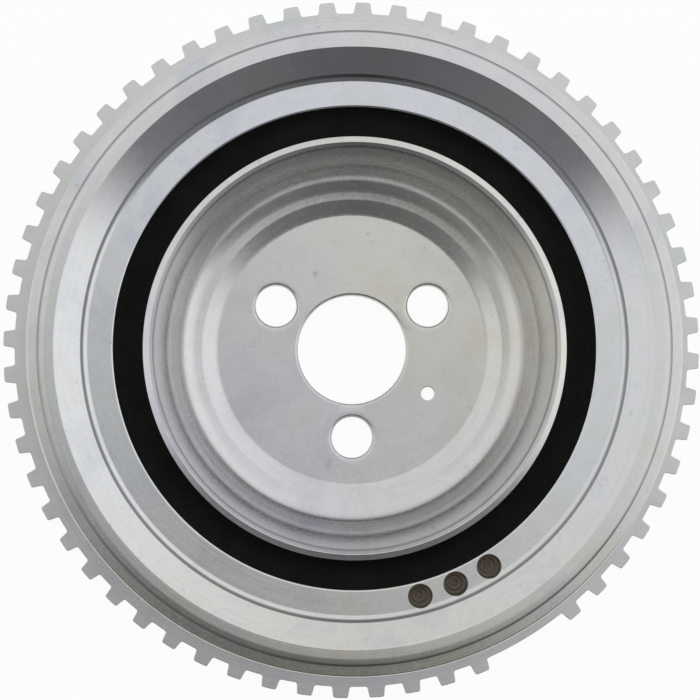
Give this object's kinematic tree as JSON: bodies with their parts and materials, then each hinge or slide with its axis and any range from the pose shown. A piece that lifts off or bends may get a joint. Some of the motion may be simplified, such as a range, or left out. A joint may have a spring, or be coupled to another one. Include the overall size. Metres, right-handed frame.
{
  "type": "crankshaft pulley",
  "caption": "Damped crankshaft pulley: drawn steel hub, bonded rubber ring, turned rim with ribbed belt seat and a toothed timing ring behind it.",
  "frame": {"origin": "on the axis of the pulley, in the hub's mounting face", "axes": "+Z along the axis, from the mounting face towards the dished front; +Y is up in the picture"},
  "size_m": [0.155, 0.155, 0.03],
  "materials": {
    "drawn_steel": "zinc-plated, drawn",
    "rubber": "moulded, matt",
    "turned_steel": "zinc-plated, fine turned",
    "stamped_steel": "zinc-plated, stamped, matt"
  },
  "bodies": {
    "root": {"hub": "drawn_steel", "damper_rubber": "rubber", "pulley_rim": "turned_steel", "tone_wheel": "stamped_steel"}
  },
  "joints": []
}
